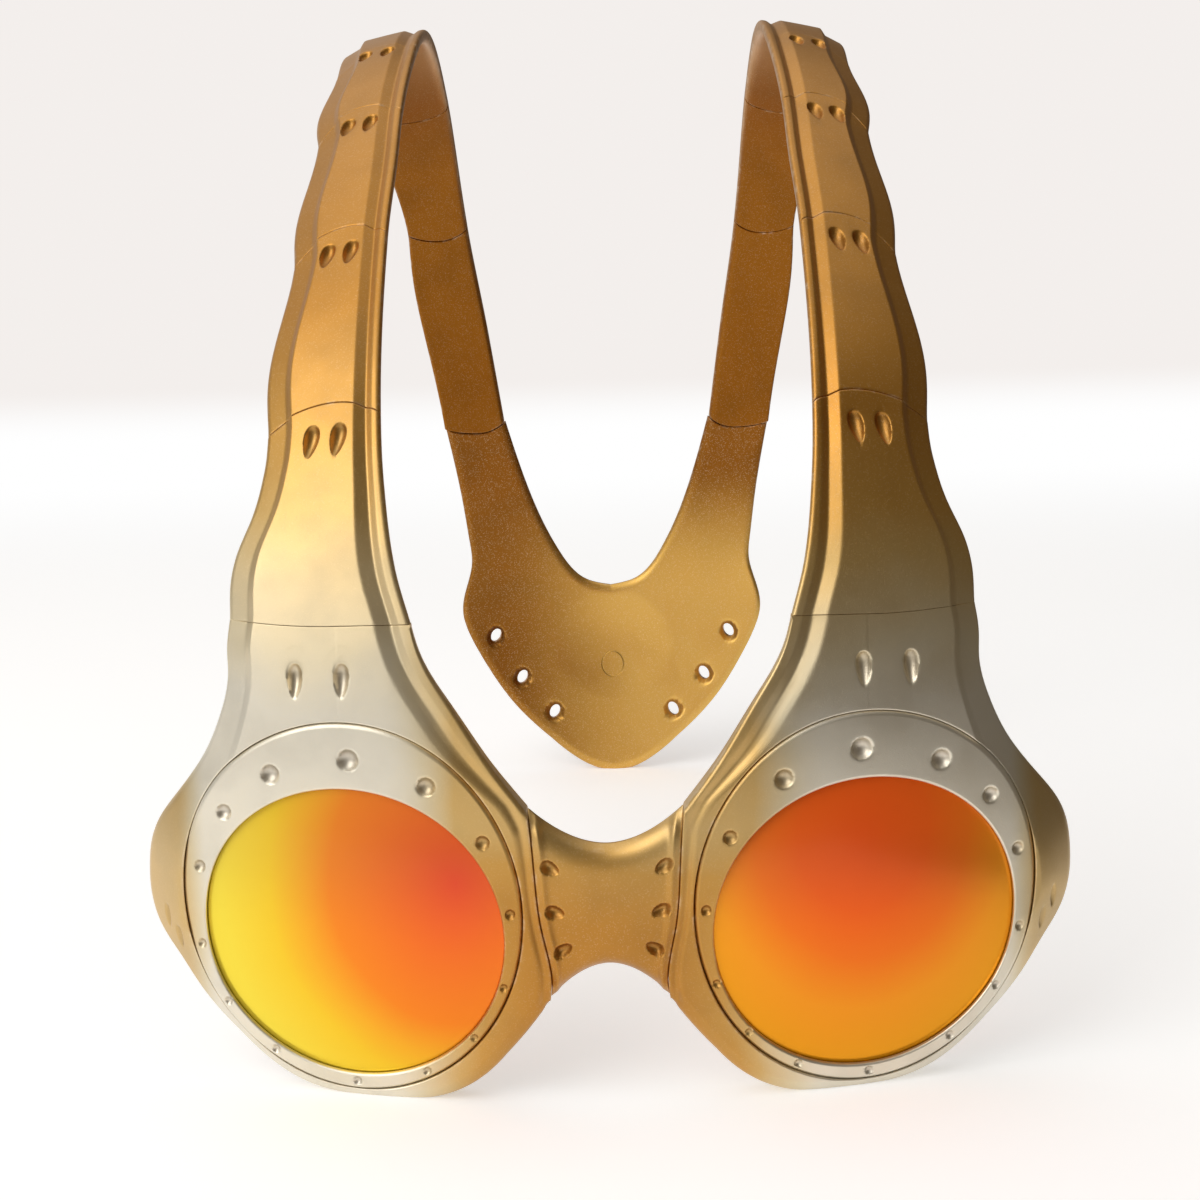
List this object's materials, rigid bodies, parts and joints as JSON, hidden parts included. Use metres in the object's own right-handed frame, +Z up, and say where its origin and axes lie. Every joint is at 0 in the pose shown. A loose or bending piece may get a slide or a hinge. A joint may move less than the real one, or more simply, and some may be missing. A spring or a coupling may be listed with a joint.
{
  "type": "round sunglasses",
  "caption": "Over-the-head sunglasses: round mirror lenses in eccentric bezels, a waisted bridge, and segmented band arms over the crown to a shield-shaped rear plate.",
  "frame": {"origin": "centre of the bounding box on the plane that the glasses stand on", "axes": "+Z up, -Y the way the lenses look, +Y towards the rear plate, +X the right side seen from the front; the plane X = 0 is the plane of symmetry"},
  "size_m": [0.153, 0.2073, 0.1764],
  "materials": {
    "bronze_paint": "satin bronze-gold metallic paint on moulded plastic",
    "champagne_paint": "satin champagne-silver metallic paint on moulded plastic",
    "fire_mirror": "orange to yellow mirror coating on a polycarbonate lens",
    "pad_rubber": "soft dark pad"
  },
  "bodies": {
    "front": {"bridge": "bronze_paint", "left_rim": "champagne_paint", "left_bezel": "champagne_paint", "left_lens": "fire_mirror", "left_nose_pad": "pad_rubber", "right_rim": "champagne_paint", "right_bezel": "champagne_paint", "right_lens": "fire_mirror", "right_nose_pad": "pad_rubber"},
    "band_1": {"left_arm_segment_1": "bronze_paint", "right_arm_segment_1": "bronze_paint"},
    "band_2": {"left_arm_segment_2": "bronze_paint", "right_arm_segment_2": "bronze_paint"},
    "band_3": {"left_arm_segment_3": "bronze_paint", "right_arm_segment_3": "bronze_paint"},
    "band_4": {"left_arm_segment_4": "bronze_paint", "right_arm_segment_4": "bronze_paint"},
    "band_5": {"left_arm_segment_5": "bronze_paint", "right_arm_segment_5": "bronze_paint"},
    "band_6": {"left_arm_segment_6": "bronze_paint", "right_arm_segment_6": "bronze_paint"},
    "band_7": {"left_arm_segment_7": "bronze_paint", "right_arm_segment_7": "bronze_paint"},
    "rear": {"rear_plate": "bronze_paint"}
  },
  "joints": [
    {"name": "band_flex_1", "type": "hinge", "parent": "front", "child": "band_1", "pos_m": [0, -0.09567, 0.07778], "axis": [1, 0, 0], "range_deg": [-0.5, 2], "stiffness_Nm_per_rad": 4},
    {"name": "band_flex_2", "type": "hinge", "parent": "band_1", "child": "band_2", "pos_m": [0, -0.08407, 0.11063], "axis": [1, 0, 0], "range_deg": [-0.5, 2], "stiffness_Nm_per_rad": 4},
    {"name": "band_flex_3", "type": "hinge", "parent": "band_2", "child": "band_3", "pos_m": [0, -0.06044, 0.13757], "axis": [1, 0, 0], "range_deg": [-0.5, 2], "stiffness_Nm_per_rad": 4},
    {"name": "band_flex_4", "type": "hinge", "parent": "band_3", "child": "band_4", "pos_m": [0, -0.03412, 0.15842], "axis": [1, 0, 0], "range_deg": [-0.5, 2], "stiffness_Nm_per_rad": 4},
    {"name": "band_flex_5", "type": "hinge", "parent": "band_4", "child": "band_5", "pos_m": [0, -0.01264, 0.17064], "axis": [1, 0, 0], "range_deg": [-0.5, 2], "stiffness_Nm_per_rad": 4},
    {"name": "band_flex_6", "type": "hinge", "parent": "band_5", "child": "band_6", "pos_m": [0, 0.04379, 0.16249], "axis": [1, 0, 0], "range_deg": [-0.5, 2], "stiffness_Nm_per_rad": 4},
    {"name": "band_flex_7", "type": "hinge", "parent": "band_6", "child": "band_7", "pos_m": [0, 0.07094, 0.13629], "axis": [1, 0, 0], "range_deg": [-0.5, 2], "stiffness_Nm_per_rad": 4},
    {"name": "band_flex_8", "type": "hinge", "parent": "band_7", "child": "rear", "pos_m": [0, 0.09172, 0.08871], "axis": [1, 0, 0], "range_deg": [-0.5, 2], "stiffness_Nm_per_rad": 4}
  ],
  "couplings": [
    {"joint": "band_flex_2", "follows": "band_flex_1", "ratio": 1},
    {"joint": "band_flex_3", "follows": "band_flex_1", "ratio": 1},
    {"joint": "band_flex_4", "follows": "band_flex_1", "ratio": 1},
    {"joint": "band_flex_5", "follows": "band_flex_1", "ratio": 1},
    {"joint": "band_flex_6", "follows": "band_flex_1", "ratio": 1},
    {"joint": "band_flex_7", "follows": "band_flex_1", "ratio": 1},
    {"joint": "band_flex_8", "follows": "band_flex_1", "ratio": 1}
  ]
}
